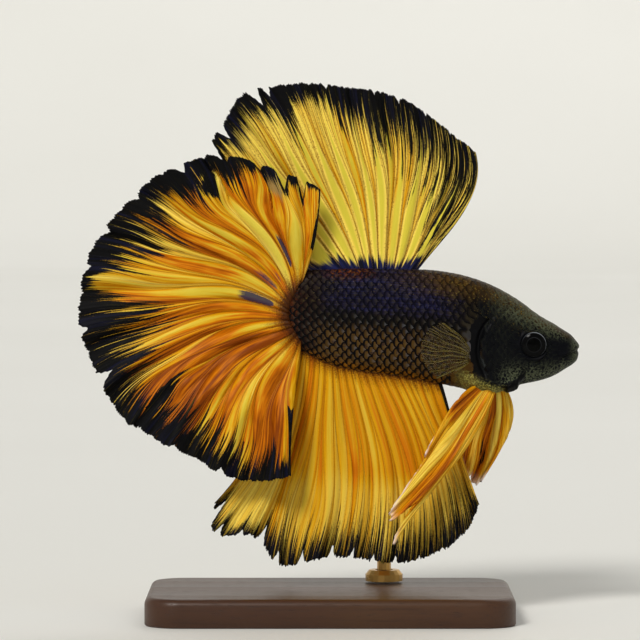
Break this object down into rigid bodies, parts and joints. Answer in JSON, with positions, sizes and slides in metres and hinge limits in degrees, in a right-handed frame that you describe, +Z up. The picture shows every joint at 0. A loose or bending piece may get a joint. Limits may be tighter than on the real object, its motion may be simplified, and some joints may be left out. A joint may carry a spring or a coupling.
{
  "type": "betta fish model",
  "caption": "Life-size still model of a long-finned betta fish with fanned yellow-orange fins edged in black, held over a flat base by a bent rod.",
  "frame": {"origin": "middle of the underside of the display base", "axes": "+X towards the fish's snout, +Y away from the fish's right side, +Z up"},
  "size_m": [0.0714, 0.034, 0.0762],
  "materials": {
    "head_skin": "wet blue-black skin with a fine grey-olive mottle on the cheek, jaw and gill edge",
    "body_scales": "overlapping dark scales, violet-blue along the upper flank, bronze with dark rims below, maroon-black at the tail stalk",
    "eye": "glossy black pupil and dark iris with a thin silver ring",
    "fin": "thin glowing membrane, yellow to deep orange between fine rays, with a ragged black margin",
    "ventral_fin": "orange membrane with yellow ridges and pinkish-white tips",
    "clear_fin": "nearly clear membrane with pale yellow and dark rays",
    "stand_wood": "dark satin walnut",
    "stand_brass": "brushed brass"
  },
  "bodies": {
    "root": {"head": "head_skin", "lower_jaw": "head_skin", "gill_cover_right": "head_skin", "gill_cover_left": "head_skin", "trunk": "body_scales", "tail_stalk": "body_scales", "eye_right": "eye", "eye_left": "eye", "dorsal_fin": "fin", "anal_fin": "fin", "caudal_fin": "fin", "ventral_fin_right": "ventral_fin", "ventral_fin_left": "ventral_fin", "pectoral_fin_right": "clear_fin", "pectoral_fin_left": "clear_fin", "stand_base": "stand_wood", "stand_rod": "stand_brass", "stand_collar": "stand_brass"}
  },
  "joints": []
}
